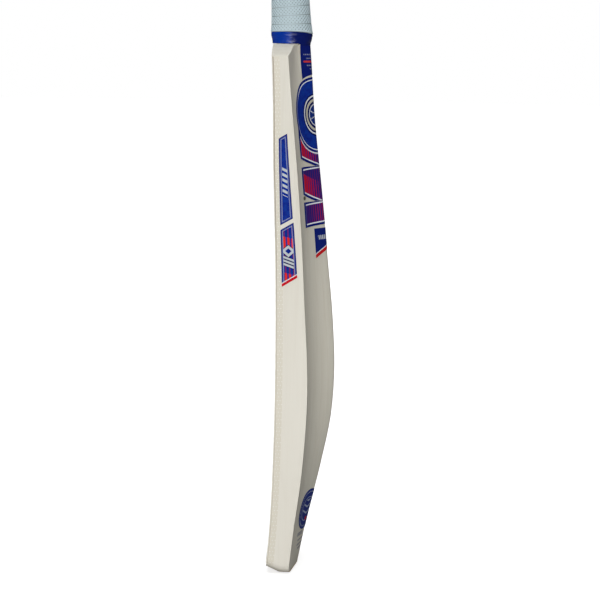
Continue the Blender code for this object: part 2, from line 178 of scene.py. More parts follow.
# Colours, in linear light.
WILLOW = (0.80, 0.765, 0.665)
NAVY = (0.005, 0.014, 0.18)
DEEP_NAVY = (0.003, 0.007, 0.10)
BLUE = (0.005, 0.022, 0.27)
BRIGHT_BLUE = (0.010, 0.055, 0.42)
WHITE = (0.86, 0.88, 0.93)
LAVENDER = (0.12, 0.16, 0.46)
DARK_RED = (0.30, 0.010, 0.035)
RED = (0.62, 0.008, 0.020)
BRIGHT_RED = (0.82, 0.030, 0.020)
SILVER = (0.60, 0.64, 0.66)
GRIP_BLUE = (0.565, 0.685, 0.73)
IVORY = (0.60, 0.575, 0.47)
BALL_BLUE = (0.008, 0.03, 0.21)

# (height, half length, dash height, pitch) of the throat label's and the name label's rows of dashes
THROAT_DASHES = [(551, 11.5, 1.3, 2.1), (547, 9, 1.2, 1.7), (539.6, 9.3, 1.3, 2.3),
                 (536, 5.5, 1.2, 1.7)]
THROAT_BAR_HEIGHT = 543.6
NAME_DASHES = [(358.5, 12.8, 4.6, 3.1)]
# (radius, colour) inside the ring's broad blue band, from the outside in
RING_BANDS = [(22.4, DEEP_NAVY), (20.8, WHITE), (19.2, DEEP_NAVY), (17.0, IVORY), (14.4, DEEP_NAVY),
              (11.7, WHITE), (10.7, BALL_BLUE)]

# Light.
AMBIENT = 0.24
MIRRORED = 0.03
FLOOR_GLOW = 0.68

# The view: where it is taken from, in degrees, how far away, and what it is aimed at.
VIEW_AZIMUTH = 95
VIEW_ELEVATION = 8
VIEW_ROLL = 0.8
VIEW_DISTANCE = 2.05
VIEW_AIM = (0, 3.3 * MM, 289 * MM)
LENS = 114.4


# Shape functions, which take arrays.


def along(stations, z, column=1):
    """A smooth curve through stations of (height, values...) in millimetres, read at heights z."""
    heights = np.array([s[0] for s in stations]) * MM
    values = np.array([s[column] for s in stations]) * MM
    spans = np.diff(heights)
    rises = np.diff(values) / spans
    inner = (rises[:-1] * spans[1:] + rises[1:] * spans[:-1]) / (spans[:-1] + spans[1:])
    slopes = np.concatenate((rises[:1], inner, rises[-1:]))
    z = np.clip(z, heights[0], heights[-1])
    i = np.clip(np.searchsorted(heights, z) - 1, 0, len(spans) - 1)
    t = (z - heights[i]) / spans[i]
    start = (1 + 2 * t) * (1 - t) ** 2 * values[i] + t * (1 - t) ** 2 * spans[i] * slopes[i]
    end = t * t * (3 - 2 * t) * values[i + 1] - t * t * (1 - t) * spans[i] * slopes[i + 1]
    return start + end


def ease(t):
    t = np.clip(t, 0, 1)
    return t * t * (3 - 2 * t)


def crowded(steps):
    """Values from -1 to 1, closest together round the middle."""
    s = np.linspace(-1, 1, steps + 1)
    return np.sign(s) * np.abs(s) ** 1.35


def face_line(z):
    return FACE_LINE + along(BOW, z)


def front_y(x, z):
    return face_line(z) - FACE_CROWN * (1 - (x / BLADE_HALF_WIDTH) ** 2)


def back_y(x, z):
    """Low and nearly flat at the edge, rising in a hollow curve to the spine."""
    column = ease((z - COLUMN_FOOT) / (COLUMN_TOP - COLUMN_FOOT))
    rounding = RIDGE_ROUNDING + (COLUMN_ROUNDING - RIDGE_ROUNDING) * column
    toe = 1 - ease(z / TOE_FADE_HEIGHT)
    power = RIDGE_POWER + (COLUMN_POWER - RIDGE_POWER) * column + (TOE_POWER - RIDGE_POWER) * toe
    reach = np.hypot(BLADE_HALF_WIDTH, rounding) - rounding
    climb = np.clip(1 - (np.hypot(x, rounding) - rounding) / reach, 0, None) ** power
    edge = along(EDGE, z)
    aside = (np.abs(x) - SHOULDER_MIDDLE) / SHOULDER_SPREAD
    fullness = SHOULDER_FULLNESS * column * np.clip(1 - aside ** 2, 0, None)
    return face_line(z) + edge + (along(SPINE, z) - edge) * climb + fullness


def half_width(z):
    drop = np.clip(TOE_CORNER_RADIUS - z, 0, TOE_CORNER_RADIUS)
    corner = np.sqrt(TOE_CORNER_RADIUS ** 2 - drop ** 2) - TOE_CORNER_RADIUS
    rise = np.clip((z - SHOULDER_HEIGHT) / (BLADE_HEIGHT - SHOULDER_HEIGHT), 0, None)
    return BLADE_HALF_WIDTH + corner + (THROAT_HALF_WIDTH - BLADE_HALF_WIDTH) * rise


def sole_lift(y, z):
    """How far the toe's rocker lifts a point."""
    ahead = np.clip(SOLE_FLAT_FRONT - y, 0, None)
    fade = 1 - ease(z / SOLE_FADE_HEIGHT)
    return fade * SOLE_RISE * (np.hypot(ahead, SOLE_ROUNDING) - SOLE_ROUNDING)


def blade_points(u, t, z):
    """Points of the blade's block: u across from -1 to 1, t from the face, 0, to the back, 1."""
    x = u * half_width(z)
    front = front_y(x, z)
    z = z + sole_lift(front + t * (back_y(x, z) - front), z)
    front = front_y(x, z)
    return np.stack((x, front + t * (back_y(x, z) - front), z), axis=-1)


def on_back(x, z, lift):
    """Points over the blade's back, lifted along its normal."""
    step = 0.25 * MM
    slope_x = (back_y(x + step, z) - back_y(x - step, z)) / (2 * step)
    slope_z = (back_y(x, z + step) - back_y(x, z - step)) / (2 * step)
    scale = lift / np.sqrt(1 + slope_x ** 2 + slope_z ** 2)
    return np.stack((x - slope_x * scale, back_y(x, z) + scale, z - slope_z * scale), axis=-1)


def handle_centre(z):
    return HANDLE_CENTRE_Y - LEAN * (z - HANDLE_CENTRE_HEIGHT)


def splice_half_width(z):
    rise = (z - SPLICE_TIP) / (BLADE_HEIGHT - SPLICE_TIP)
    return SPLICE_TIP_HALF_WIDTH + (SPLICE_HALF_WIDTH - SPLICE_TIP_HALF_WIDTH) * rise


# Mesh makers.


def quads(index):
    """The cells of a grid of vertex numbers."""
    corners = (index[:-1, :-1], index[:-1, 1:], index[1:, 1:], index[1:, :-1])
    return np.stack(corners, axis=-1).reshape(-1, 4)


def body(name, points, faces, mat, attributes=None, sharp=40):
    mesh = bpy.data.meshes.new(name)
    mesh.from_pydata(points.tolist(), [], faces.tolist())
    mesh.materials.append(mat)
    for key, values in (attributes or {}).items():
        mesh.attributes.new(key, "FLOAT", "POINT").data.foreach_set("value", values.astype(np.float32))
    work = bmesh.new()
    work.from_mesh(mesh)
    bmesh.ops.recalc_face_normals(work, faces=work.faces)
    work.to_mesh(mesh)
    work.free()
    mesh.shade_smooth()
    mesh.set_sharp_from_angle(angle=math.radians(sharp))
    obj = bpy.data.objects.new(name, mesh)
    bpy.context.scene.collection.objects.link(obj)
    return obj


def block(name, points, mat, attributes=None, sharp=40):
    """The skin of a lattice of points[i, j, k]. Attributes have one value for each point."""
    index = np.arange(points[..., 0].size).reshape(points.shape[:3])
    skins = [quads(index.take(end, axis=axis)) for axis in range(3) for end in (0, -1)]
    faces = np.concatenate(skins)
    used, renumbered = np.unique(faces, return_inverse=True)
    kept = {key: values.reshape(-1)[used] for key, values in (attributes or {}).items()}
    return body(name, points.reshape(-1, 3)[used], renumbered.reshape(faces.shape), mat, kept, sharp)


def tube(name, points, mat, attributes=None, sharp=40):
    """A closed ring of rows: points[row, column], where rows and columns both come round again."""
    index = np.arange(points[..., 0].size).reshape(points.shape[:2])
    index = np.concatenate((index, index[:1]))
    index = np.concatenate((index, index[:, :1]), axis=1)
    flat = {key: values.reshape(-1) for key, values in (attributes or {}).items()}
    return body(name, points.reshape(-1, 3), quads(index), mat, flat, sharp)


def stand_for(obj, slot, *nodes):
    """Rides on the bat's one body, in place of CAD nodes."""
    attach(obj, "root")
    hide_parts(*nodes)


def apply_modifiers(obj):
    graph = bpy.context.evaluated_depsgraph_get()
    mesh = bpy.data.meshes.new_from_object(obj.evaluated_get(graph))
    obj.modifiers.clear()
    obj.data = mesh


# Materials. A Look is painted in layers, with numbers that vary over the surface.


class Field:
    """A number worked out over a surface. Arithmetic on it adds Math nodes."""

    def __init__(self, tree, socket):
        self.tree = tree
        self.socket = socket

    def math(self, operation, *values):
        node = self.tree.nodes.new("ShaderNodeMath")
        node.operation = operation
        for slot, value in zip(node.inputs, values):
            if isinstance(value, Field):
                self.tree.links.new(value.socket, slot)
            else:
                slot.default_value = value
        return Field(self.tree, node.outputs[0])

    def __add__(self, other):
        return self.math("ADD", self, other)

    def __sub__(self, other):
        return self.math("SUBTRACT", self, other)

    def __rsub__(self, other):
        return self.math("SUBTRACT", other, self)

    def __mul__(self, other):
        return self.math("MULTIPLY", self, other)

    def __truediv__(self, other):
        return self.math("DIVIDE", self, other)

    def __pow__(self, other):
        return self.math("POWER", self, other)

    def __abs__(self):
        return self.math("ABSOLUTE", self)

    def __lt__(self, other):
        return self.math("LESS_THAN", self, other)

    def __gt__(self, other):
        return self.math("GREATER_THAN", self, other)

    __radd__ = __add__
    __rmul__ = __mul__

    def fraction(self):
        return self.math("FRACT", self)

    def floor(self):
        return self.math("FLOOR", self)

    def least(self, other):
        return self.math("MINIMUM", self, other)

    def most(self, other):
        return self.math("MAXIMUM", self, other)

    def between(self, low, high):
        return (self > low) * (self < high)

    def ramp(self, low, high):
        """0 below low, 1 above high and smooth between them; low may be the larger."""
        node = self.tree.nodes.new("ShaderNodeMapRange")
        node.interpolation_type = "SMOOTHSTEP"
        self.tree.links.new(self.socket, node.inputs["Value"])
        node.inputs["From Min"].default_value = min(low, high)
        node.inputs["From Max"].default_value = max(low, high)
        node.inputs["To Min"].default_value = float(low > high)
        node.inputs["To Max"].default_value = float(low < high)
        return Field(self.tree, node.outputs[0])


def distance(a, b, centre_a=0.0, centre_b=0.0):
    return ((a - centre_a) ** 2 + (b - centre_b) ** 2) ** 0.5


def inset(a, b, corners, closed=True):
    """How far a point lies inside a convex outline whose corners run anticlockwise in (a, b)."""
    ends = corners[1:] + corners[:1] if closed else corners[1:]
    nearest = None
    for (a0, b0), (a1, b1) in zip(corners, ends):
        length = math.hypot(a1 - a0, b1 - b0)
        depth = ((b - b0) * (a1 - a0) - (a - a0) * (b1 - b0)) / length
        nearest = depth if nearest is None else nearest.least(depth)
    return nearest


def dots(a, b, pitch_a, pitch_b, radius):
    """Staggered rows of round dots."""
    cover = None
    for shift in (0, 0.5):
        near_a = ((a / pitch_a + shift).fraction() - 0.5) * pitch_a
        near_b = ((b / pitch_b + shift).fraction() - 0.5) * pitch_b
        spot = distance(near_a, near_b).ramp(radius * 1.3, radius * 0.7)
        cover = spot if cover is None else cover.most(spot)
    return cover


class Look:
    """A Principled material whose colour is painted layer over layer."""

    def __init__(self, name, colour, roughness, **sockets):
        self.material = bpy.data.materials.new(name)
        self.material.use_nodes = True
        self.tree = self.material.node_tree
        self.shader = self.tree.nodes["Principled BSDF"]
        self.shader.inputs["Roughness"].default_value = roughness
        for key, value in sockets.items():
            self.shader.inputs[key.replace("_", " ")].default_value = value
        self.shader.inputs["Base Color"].default_value = (*colour, 1)
        self.colour = None

    def place(self):
        """x, y and z in millimetres."""
        coordinates = self.tree.nodes.new("ShaderNodeTexCoord")
        split = self.tree.nodes.new("ShaderNodeSeparateXYZ")
        self.tree.links.new(coordinates.outputs["Object"], split.inputs[0])
        return [Field(self.tree, split.outputs[i]) * 1000 for i in range(3)]

    def attribute(self, name):
        node = self.tree.nodes.new("ShaderNodeAttribute")
        node.attribute_name = name
        return Field(self.tree, node.outputs["Fac"])

    def vector(self, *values):
        node = self.tree.nodes.new("ShaderNodeCombineXYZ")
        for slot, value in zip(node.inputs, values):
            if isinstance(value, Field):
                self.tree.links.new(value.socket, slot)
            else:
                slot.default_value = value
        return node.outputs[0]

    def noise(self, x, y, z, detail=2.0):
        """Smooth noise round 0.5, with features about 1 unit of the given coordinates in size."""
        node = self.tree.nodes.new("ShaderNodeTexNoise")
        node.inputs["Scale"].default_value = 1
        node.inputs["Detail"].default_value = detail
        self.tree.links.new(self.vector(x, y, z), node.inputs["Vector"])
        return Field(self.tree, node.outputs[0])

    def speckle(self, x, y, z):
        """A number from 0 to 1 for each whole-number cell of the given coordinates."""
        node = self.tree.nodes.new("ShaderNodeTexWhiteNoise")
        self.tree.links.new(self.vector(x.floor(), y.floor(), z.floor()), node.inputs["Vector"])
        return Field(self.tree, node.outputs["Value"])

    def paint(self, cover, colour):
        """Lays a colour over the surface where cover is 1."""
        node = self.tree.nodes.new("ShaderNodeMix")
        node.data_type = "RGBA"
        under = self.colour_slot(node, "A")
        if self.colour is None:
            under.default_value = self.shader.inputs["Base Color"].default_value
        else:
            self.tree.links.new(self.colour, under)
        self.colour_slot(node, "B").default_value = (*colour, 1)
        if isinstance(cover, Field):
            self.tree.links.new(cover.socket, node.inputs["Factor"])
        else:
            node.inputs["Factor"].default_value = cover
        self.colour = next(slot for slot in node.outputs if slot.type == "RGBA")
        self.tree.links.new(self.colour, self.shader.inputs["Base Color"])

    @staticmethod
    def colour_slot(node, name):
        return next(slot for slot in node.inputs if slot.name == name and slot.type == "RGBA")

    def roughness(self, field, low, high):
        mapped = field * (high - low) + low
        self.tree.links.new(mapped.socket, self.shader.inputs["Roughness"])

    def bump(self, field, height):
        """Raises the surface by height, in metres, where field is 1."""
        node = self.tree.nodes.new("ShaderNodeBump")
        node.inputs["Strength"].default_value = 1
        node.inputs["Distance"].default_value = height
        self.tree.links.new(field.socket, node.inputs["Height"])
        self.tree.links.new(node.outputs[0], self.shader.inputs["Normal"])


def paint_grain_and_light(look, x, y, z):
    """Straight grain up the blade: growth rings 9 mm apart, fine streaks and small flecks; also painted
    light that makes the lower edges paler.
    """
    drift = look.noise(x / 40, y / 40, z / 260)
    rings = ((x + drift * 16) / 9).fraction()
    line = abs(rings - 0.5) * 2
    look.paint((line ** 10) * 0.12, (0.50, 0.42, 0.29))
    broad = look.noise(x / 5, y / 5, z / 170, detail=3)
    look.paint(broad.ramp(0.40, 0.72) * 0.16, (0.62, 0.555, 0.43))
    streaks = look.noise(x / 0.7, y / 0.7, z / 45, detail=3)
    look.paint(streaks.ramp(0.45, 0.75) * 0.20, (0.66, 0.60, 0.48))
    flecks = look.noise(x / 0.35, y / 0.35, z / 2.2)
    look.paint(flecks.ramp(0.66, 0.78) * 0.25, (0.55, 0.47, 0.33))
    # The edges are painted a little paler lower down: painted light, making up for the light that
    # reaches them less near the floor.
    look.paint(z.ramp(420, 140) * (abs(x) > 52) * 0.55, (0.95, 0.91, 0.81))
    return streaks


def paint_toe_line(look, y, z):
    """An amber line along the very edge of the toe, where the shield ends."""
    sole = ((y * -1 + SOLE_FLAT_FRONT / MM) * SOLE_RISE).most(0)
    look.paint((z - sole).ramp(2.2, 1.0) * 0.85, (0.50, 0.36, 0.17))


# Each row's height and half height, where it starts and ends beside the spine, and its pitch.
PRINTED_DASHES = [
    (35.6, 2.3, 8, 25, 3.4),
    (29.0, 1.1, 0, 22, 2.6),
    (24.0, 1.1, 0, 24, 2.9),
    (19.4, 1.1, 0, 19, 2.4),
]


def willow_look():
    look = Look("willow_wood", WILLOW, 0.48, Coat_Weight=0.05, Coat_Roughness=0.35)
    x, y, z = look.place()
    streaks = paint_grain_and_light(look, x, y, z)
    across = abs(x)
    behind = (y > 2) * (across < 52.2)
    # A small dark knot beside the bars.
    knot = distance((across - 31.2) / 1.7, (z - 401.3) / 1.3)
    look.paint(knot.ramp(2.1, 1.2) * behind * (x > 0), (0.030, 0.025, 0.015))
    # The back is a little duller than the edges.
    look.paint(behind * 0.12, (0.46, 0.45, 0.34))
    # The top end is painted paler: a painted highlight along the top edge of the shoulders.
    look.paint(z.ramp(559.6, 560.4) * 0.7, (0.88, 0.84, 0.70))
    # Rows of pad-printed dashes under the badge.
    for height, half_height, low, high, pitch in PRINTED_DASHES:
        row = abs(z - height) < half_height
        gap = (across / pitch).fraction() < 0.74
        look.paint(row * gap * across.between(low, high) * (y > -2) * 0.75, (0.075, 0.09, 0.19))
    paint_toe_line(look, y, z)
    look.bump(streaks, 0.00006)
    look.roughness(streaks, 0.40, 0.56)
    return look.material


def film_look():
    """Clear textured film over the willow: it yellows the wood and carries rows of small white dots."""
    look = Look("anti_scuff_film", WILLOW, 0.42, Specular_IOR_Level=0.3)
    x, y, z = look.place()
    paint_grain_and_light(look, x, y, z)
    # The splice shows through on the face.
    seam = splice_field(x, z)
    look.paint(seam.ramp(0.5, -0.3) * (z > 425) * (y < 0) * 0.5, (0.62, 0.50, 0.31))
    look.paint(abs(seam).ramp(0.5, 0.2) * (z > 424) * (y < 0) * 0.6, (0.33, 0.25, 0.14))
    look.paint(0.5, (0.77, 0.715, 0.578))
    arc = look.attribute("arc")
    # The face's corner is darker, more toward the shoulders.
    corner = arc.ramp(2.0, 1.5) * arc.ramp(-5, -0.5)
    look.paint(corner * (0.3 + 0.6 * z.ramp(250, 420)), (0.24, 0.165, 0.10))
    cover = dots(arc, z, 2.95, 8.2, 0.5) * (arc > 2.2).most(arc < -1)
    look.paint(cover * 0.85, (0.97, 0.95, 0.89))
    paint_toe_line(look, y, z)
    look.bump(cover, 0.00005)
    return look.material


def splice_field(x, z):
    """How far outside the splice's V a point lies, in millimetres."""
    rise = (SPLICE_HALF_WIDTH - SPLICE_TIP_HALF_WIDTH) / (BLADE_HEIGHT - SPLICE_TIP)
    return abs(x) - ((z - SPLICE_TIP / MM) * rise + SPLICE_TIP_HALF_WIDTH / MM)


def weave(look, a, b):
    """Blue print mottled in small squares and soft clouds."""
    look.paint(look.speckle(a / 2.2, b / 2.2, a * 0) * 0.5, BRIGHT_BLUE)
    clouds = look.noise(a / 5, b / 5, b * 0, detail=3)
    look.paint(clouds.ramp(0.45, 0.62) * 0.5, (0.006, 0.055, 0.40))
    look.paint(look.speckle(a / 0.7, b / 0.7, b * 0).ramp(0.7, 1.0) * 0.35, DEEP_NAVY)


def vinyl_look(name, colour, shine=0.05):
    return Look(name, colour, 0.36, Specular_IOR_Level=shine)


def dashes(look, a, b, rows, colour):
    """Rows of short slanted dashes: (height, reach, dash height, pitch)."""
    for height, reach, tall, pitch in rows:
        row = abs(b - height) < tall / 2
        dash = ((a + (b - height) * 0.3) / pitch).fraction() < 0.72
        look.paint(row * dash * (abs(a) < reach) * 0.8, colour)


def throat_look():
    look = vinyl_look("throat_print", NAVY)
    x, _, z = look.place()
    sheen = look.noise(x / 8, z / 8, z * 0)
    look.paint(sheen.ramp(0.35, 0.7) * 0.35, (0.010, 0.018, 0.15))
    dashes(look, x, z, THROAT_DASHES, (0.32, 0.34, 0.46))
    off_bar = abs(z - THROAT_BAR_HEIGHT)
    bar = (abs(x) + off_bar < 12.4) * (off_bar < 1.0)
    look.paint(bar, (0.66, 0.05, 0.05))
    return look.material


def ring_look():
    """A ring with a ball at its middle."""
    look = vinyl_look("ring_print", BLUE)
    x, _, z = look.place()
    weave(look, x, z)
    r = distance(x / BENT_WIDTH, z - RING_HEIGHT)
    look.paint(r > 36.4, WHITE)
    look.paint((r > 36.4) * abs(z - 488).ramp(30, 12) * 0.75, LAVENDER)
    look.paint(r > 37.4, NAVY)
    for radius, colour in RING_BANDS:
        look.paint(r < radius, colour)
    seam = abs(distance(x, z - RING_HEIGHT, 0, 17) - 15)
    far_seam = abs(distance(x, z - RING_HEIGHT, 0, -17) - 15)
    stitch = (x / 1.9).fraction() < 0.6
    look.paint((seam.least(far_seam) < 0.55) * stitch * (r < 10), WHITE)
    return look.material


def bar_look(number):
    """Fine upright stripes, red at the sides and blue toward the spine, in a navy and white border."""
    side_top, spine_top, side_low, spine_low = BARS[number - 1]
    look = vinyl_look(f"bar_print_{number}", (0.012, 0.018, 0.23))
    x, _, z = look.place()
    across = abs(x)
    toward_spine = 1 - across / BAR_HALF_WIDTH
    # Red stripes 3.2 mm apart grow from thin lines to solid red toward the sides of bars 1 and 2.
    phase = (across / 3.2).fraction()
    thin = phase < 0.36
    bold = phase < 1.15 - toward_spine * 1.25
    look.paint(thin * (0.3 + 0.55 * toward_spine), DARK_RED)
    look.paint((across / 1.6).fraction() < 0.4, (0.05, 0.012, 0.13))
    if number == 2:
        bold = bold * (z < 428 - toward_spine * 12)
    if number < 3:
        look.paint(bold * 0.95, RED)
    else:
        look.paint(thin * toward_spine.ramp(0.2, 0.9) * 0.7, RED)
    clouds = look.noise(x / 6, z / 6, z * 0, detail=3)
    look.paint(clouds.ramp(0.50, 0.72) * 0.35 * toward_spine.ramp(0.1, 0.5), BLUE)
    low = inset(across, z, [(0, spine_low), (BAR_HALF_WIDTH, side_low)], closed=False)
    high = inset(across, z, [(BAR_HALF_WIDTH, side_top), (0, spine_top)], closed=False)
    if number == 1:
        high = distance(x / BENT_WIDTH, z - RING_HEIGHT) - RING_RADIUS - RING_GAP
        look.paint(high < 1.3, WHITE)
    else:
        look.paint(high < 3.7, WHITE)
        look.paint(high < 2.3, NAVY)
    look.paint(low < 3.9, WHITE)
    look.paint(low < 2.5, NAVY)
    edge = BAR_HALF_WIDTH - across
    look.paint(edge < 3.5, LAVENDER)
    look.paint(edge < 2.9, NAVY)
    return look.material


def name_look():
    _, side_low, spine_low = NAME_LEVELS
    look = vinyl_look("name_print", NAVY)
    x, _, z = look.place()
    look.paint(look.speckle(x / 1.6, z / 1.6, z * 0) * 0.3, (0.012, 0.03, 0.20))
    dashes(look, x, z, NAME_DASHES, SILVER)
    low = inset(abs(x), z, [(0, spine_low), (NAME_HALF_WIDTH, side_low)], closed=False)
    look.paint(low < 4.4, WHITE)
    look.paint(low < 3.5, (0.60, 0.015, 0.02))
    return look.material


def badge_look():
    """A small oval badge: pale rings, three chevrons and a red spot."""
    look = vinyl_look("badge_print", (0.014, 0.028, 0.20))
    x, _, z = look.place()
    out = x - BADGE_MIDDLE
    up = z - BADGE_HEIGHT
    oval = distance(out / BADGE_HALF_WIDTH, up / BADGE_HALF_HEIGHT)
    pale = (0.42, 0.48, 0.60)
    look.paint(oval.between(0.82, 0.88) * ((out - up) / 3.4).fraction().between(0.1, 0.75) * 0.7, pale)
    look.paint(oval.between(0.56, 0.61) * 0.65, pale)
    for height in (-5, 2, 9):
        chevron = abs(up - height - abs(out) * 0.5) < 1.0
        look.paint(chevron * (oval < 0.5) * 0.8, pale)
    look.paint(distance(out, up, -2, -11).ramp(2.6, 2.0), (0.50, 0.02, 0.03))
    return look.material


def paint_outline(look, edge):
    """A navy outline with a lavender line inside it, edged in silver."""
    look.paint((edge < 2.5) * 0.7, SILVER)
    look.paint(edge < 2.1, (0.075, 0.105, 0.38))
    look.paint(edge < 1.1, NAVY)


def upper_edge_look():
    look = vinyl_look("upper_edge_print", BLUE, shine=0.01)
    _, _, z = look.place()
    depth = look.attribute("depth")
    weave(look, depth, z)
    edge = inset(depth, z, UPPER_EDGE_LABEL)
    slanted = ((z + depth * 0.5) / 5.6).fraction() < 0.52
    zone = (z + depth * 0.5).between(411, 442) * depth.between(9.3, 14.6)
    look.paint(slanted * zone, SILVER)
    paint_outline(look, edge)
    return look.material


def lower_edge_look():
    look = vinyl_look("lower_edge_print", BLUE, shine=0.01)
    _, _, z = look.place()
    depth = look.attribute("depth")
    weave(look, depth, z)
    # Three red stripes run up the label, thin above and thick below, on both sides of the emblem.
    lane = (depth - 8.6 + (z - 340) * 0.035) / 4.3
    offset = abs(lane.fraction() - 0.5)
    level = z + depth * 0.22
    thick = level.between(351, 365).most(level < 327.2)
    look.paint((offset < 0.11) * 0.85, DARK_RED)
    look.paint((offset < 0.30) * thick, BRIGHT_RED)
    # A silver emblem: a lozenge over three slanted bars.
    lozenge = abs(depth - 14.2) * 0.85 + abs(z - 347.7)
    look.paint(lozenge < 7.1, DEEP_NAVY)
    look.paint(lozenge < 6.3, SILVER)
    look.paint(lozenge < 2.9, BLUE)
    rise = z + depth * 0.35
    zone = rise.between(335.6, 346.4) * depth.between(8.4, 19.8) * (lozenge > 7.1)
    look.paint(zone, DEEP_NAVY)
    look.paint(((rise - 335.6) / 3.6).fraction().between(0.18, 0.80) * zone, SILVER)
    paint_outline(look, inset(depth, z, LOWER_EDGE_LABEL))
    base = inset(depth, z, LOWER_EDGE_LABEL[:2], closed=False)
    look.paint(base < 3.6, WHITE)
    look.paint(base < 2.7, RED)
    return look.material


def grip_look():
    """Pale blue rubber with painted shade in the rings and in the pits, which follow the rule in
    make_grip.
    """
    look = Look("grip_rubber_blue", GRIP_BLUE, 0.66, Specular_IOR_Level=0.2)
    x, y, z = look.place()
    axis = HANDLE_CENTRE_Y / MM - (z - HANDLE_CENTRE_HEIGHT / MM) * LEAN
    angle = (y - axis).math("ARCTAN2", y - axis, x)
    back = angle.math("SINE", angle)
    band = look.attribute("band")
    column = angle * (PITS_AROUND / (2 * math.pi))
    row = band * (PIT_ROWS / 2)
    first = (column + row).math("COSINE", (column + row) * (2 * math.pi)) * 0.5 + 0.5
    second = (column - row).math("COSINE", (column - row) * (2 * math.pi)) * 0.5 + 0.5
    slant = (back * -1.15).most(-0.93).least(0.93)
    pit = first.math("POWER", first, (slant + 1) * 1.5) * second.math("POWER", second, (1 - slant) * 1.5)
    near_ring = abs((band + 0.5).fraction() - 0.5)
    ringed = look.attribute("body")
    # Painted shade in the pits and in the ring grooves, darker toward the front and the back of the
    # handle.
    pit_shade = ringed * (0.55 + 0.45 * abs(back))
    look.paint(pit.ramp(0.3, 0.85) * near_ring.ramp(0.06, 0.12) * pit_shade, (0.085, 0.135, 0.155))
    look.paint(near_ring.ramp(0.075, 0.03) * ringed * (0.2 + 0.45 * abs(back)), (0.12, 0.17, 0.18))
    cloud = look.noise(x / 14, y / 14, z / 14)
    look.paint(cloud.ramp(0.45, 0.75) * 0.15, (0.50, 0.62, 0.66))
    grain = look.noise(x / 0.35, y / 0.35, z / 0.35)
    look.bump(grain, 0.00004)
    return look.material


def tape_look():
    look = Look("collar_tape_blue", (0.001, 0.033, 0.33), 0.2, Specular_IOR_Level=0.3)
    x, y, z = look.place()
    clouds = look.noise(x / 5, y / 5, z / 2.5, detail=3)
    look.paint(clouds.ramp(0.4, 0.7) * 0.30, (0.002, 0.048, 0.38))
    # The tape is painted much darker over its back half.
    look.paint((y + x * 0.1).ramp(-9.5, -3.0) * 0.92, (0.0015, 0.006, 0.105))
    fine = look.noise(x / 2.6, y / 2.6, z / 0.8, detail=3)
    look.bump(fine, 0.0002)
    return look.material


def shield_look():
    look = Look("toe_shield_amber", (0.70, 0.45, 0.14), 0.34, Coat_Weight=0.2)
    x, y, z = look.place()
    mottled = look.noise(x / 4, y / 4, z / 4, detail=3)
    look.paint(mottled.ramp(0.4, 0.7) * 0.4, (0.24, 0.15, 0.05))
    look.bump(look.noise(x / 0.6, y / 0.6, z / 0.6), 0.00005)
    return look.material


def cane_look():
    look = Look("split_cane", (0.82, 0.775, 0.66), 0.5)
    x, y, z = look.place()
    fibres = look.noise(x / 0.35, y / 0.35, z / 60, detail=3)
    look.paint(fibres.ramp(0.42, 0.7) * 0.3, (0.62, 0.53, 0.37))
    pores = look.noise(x / 0.22, y / 0.22, z / 3)
    look.paint(pores.ramp(0.64, 0.76) * 0.35, (0.36, 0.27, 0.16))
    look.bump(fibres, 0.0001)
    return look.material


def strip_look():
    look = Look("black_rubber", (0.022, 0.022, 0.024), 0.72)
    x, y, z = look.place()
    dust = look.noise(x / 1.2, y / 1.2, z / 1.2, detail=3)
    look.paint(dust.ramp(0.5, 0.8) * 0.3, (0.06, 0.058, 0.055))
    look.bump(dust, 0.0001)
    return look.material


def twine_look():
    """Twine wound round and round, one turn a millimetre."""
    look = Look("wound_twine", (0.66, 0.60, 0.46), 0.8)
    x, y, z = look.place()
    turn = abs(z.fraction() - 0.5) * 2
    # Painted shade in the creases between the turns.
    look.paint((turn ** 4) * 0.7, (0.27, 0.22, 0.14))
    fluff = look.noise(x / 0.8, y / 0.8, z / 0.3, detail=3)
    look.paint(fluff.ramp(0.5, 0.75) * 0.3, (0.78, 0.74, 0.62))
    look.bump(1 - turn ** 2, 0.0004)
    return look.material


# Pieces.


def make_blade():
    across = crowded(60)
    degrees = (40, 50, 60, 70, 80)
    corner = [TOE_CORNER_RADIUS * (1 - math.cos(math.radians(a))) for a in degrees]
    heights = np.concatenate((
        [BLADE_FOOT], corner,
        np.linspace(TOE_CORNER_RADIUS, SHOULDER_HEIGHT, 190),
        np.linspace(SHOULDER_HEIGHT, BLADE_HEIGHT, 5)[1:],
    ))
    u, t, z = np.meshgrid(across, np.linspace(0, 1, 9), heights, indexing="ij")
    wood = willow_look()
    blade = block("willow_blade", blade_points(u, t, z), wood)
    bevel = blade.modifiers.new("rounded corners", "BEVEL")
    bevel.width = CORNER_ROUNDING
    bevel.segments = 4
    bevel.limit_method = "ANGLE"
    bevel.angle_limit = math.radians(35)

    tip = SPLICE_TIP - GLUE_LINE
    top = BLADE_HEIGHT + SLOT_ABOVE
    corners = np.array([
        [[(side * (splice_half_width(z) + GLUE_LINE), y, z) for z in (tip, top)]
         for y in (-SLOT_REACH, SLOT_REACH)]
        for side in (-1, 1)
    ])
    cutter = block("splice_cutter", corners, wood)
    cut = blade.modifiers.new("splice", "BOOLEAN")
    cut.operation = "DIFFERENCE"
    cut.solver = "EXACT"
    cut.object = cutter
    apply_modifiers(blade)
    bpy.data.objects.remove(cutter)
    blade.data.shade_smooth()
    blade.data.set_sharp_from_angle(angle=math.radians(32))
    stand_for(blade, "willow", "blade")


def make_toe_shield():
    across = np.linspace(-1, 1, 49)
    deep = np.linspace(0, 1, 13)
    u, t, z = np.meshgrid(across, deep, (0, SHIELD_THICKNESS), indexing="ij")
    shield = block("toe_guard_strip", blade_points(u, t, z), shield_look())
    stand_for(shield, "toe_guard", "toe_shield")


